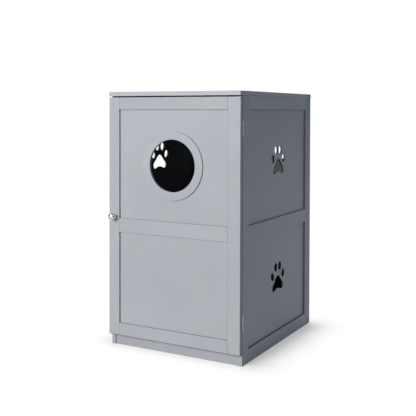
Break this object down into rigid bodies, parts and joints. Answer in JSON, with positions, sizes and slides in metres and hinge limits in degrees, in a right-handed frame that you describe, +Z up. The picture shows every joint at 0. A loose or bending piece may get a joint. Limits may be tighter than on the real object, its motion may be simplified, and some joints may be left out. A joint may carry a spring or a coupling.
{
  "type": "cat litter box cabinet",
  "caption": "Framed wooden cabinet that hides a cat litter box, with a hinged front door, a round cat entrance, an inner shelf with a passage and paw-print cut-outs.",
  "frame": {"origin": "middle of the footprint on the floor, the footprint being the box round the whole object with its knob and hinge knuckles", "axes": "+Z up, +X to the right as seen from the door, +Y from the door to the back"},
  "size_m": [0.5242, 0.641, 0.9005],
  "materials": {
    "painted_board": "satin grey paint on fibreboard",
    "polished_nickel": "polished nickel plate",
    "hinge_steel": "nickel-plated sheet steel",
    "zinc_fitting": "bright zinc plate",
    "catch_plastic": "moulded satin plastic"
  },
  "bodies": {
    "cabinet": {"left_front_stile": "painted_board", "left_back_stile": "painted_board", "left_top_rail": "painted_board", "left_mid_rail": "painted_board", "left_bottom_rail": "painted_board", "left_upper_infill": "painted_board", "left_lower_infill": "painted_board", "left_front_cam": "zinc_fitting", "left_front_cam_bolt": "zinc_fitting", "left_back_cam": "zinc_fitting", "left_back_cam_bolt": "zinc_fitting", "right_front_stile": "painted_board", "right_back_stile": "painted_board", "right_top_rail": "painted_board", "right_mid_rail": "painted_board", "right_bottom_rail": "painted_board", "right_upper_infill": "painted_board", "right_lower_infill": "painted_board", "right_front_cam": "zinc_fitting", "right_front_cam_bolt": "zinc_fitting", "right_back_cam": "zinc_fitting", "right_back_cam_bolt": "zinc_fitting", "top_board": "painted_board", "bottom_board": "painted_board", "plinth_board": "painted_board", "left_cleat": "painted_board", "right_cleat": "painted_board", "mid_shelf": "painted_board", "back_panel": "painted_board", "lower_hinge_frame_leaf": "hinge_steel", "lower_hinge_pin": "hinge_steel", "lower_hinge_frame_lower_screw": "hinge_steel", "lower_hinge_frame_upper_screw": "hinge_steel", "upper_hinge_frame_leaf": "hinge_steel", "upper_hinge_pin": "hinge_steel", "upper_hinge_frame_lower_screw": "hinge_steel", "upper_hinge_frame_upper_screw": "hinge_steel", "catch_housing": "catch_plastic", "catch_magnet": "zinc_fitting", "catch_left_screw": "zinc_fitting", "catch_right_screw": "zinc_fitting"},
    "door": {"door_knob_stile": "painted_board", "door_hinge_stile": "painted_board", "door_top_rail": "painted_board", "door_mid_rail": "painted_board", "door_bottom_rail": "painted_board", "door_upper_infill": "painted_board", "door_lower_infill": "painted_board", "entrance_ring": "painted_board", "door_knob": "polished_nickel", "knob_screw": "zinc_fitting", "lower_hinge_door_leaf": "hinge_steel", "lower_hinge_door_lower_screw": "hinge_steel", "lower_hinge_door_upper_screw": "hinge_steel", "upper_hinge_door_leaf": "hinge_steel", "upper_hinge_door_lower_screw": "hinge_steel", "upper_hinge_door_upper_screw": "hinge_steel", "strike_plate": "zinc_fitting", "strike_screw": "zinc_fitting"}
  },
  "joints": [
    {"name": "door_hinge", "type": "hinge", "parent": "cabinet", "child": "door", "pos_m": [0.25935, -0.27995, 0.4605], "axis": [0, 0, 1], "range_deg": [0, 180]}
  ]
}
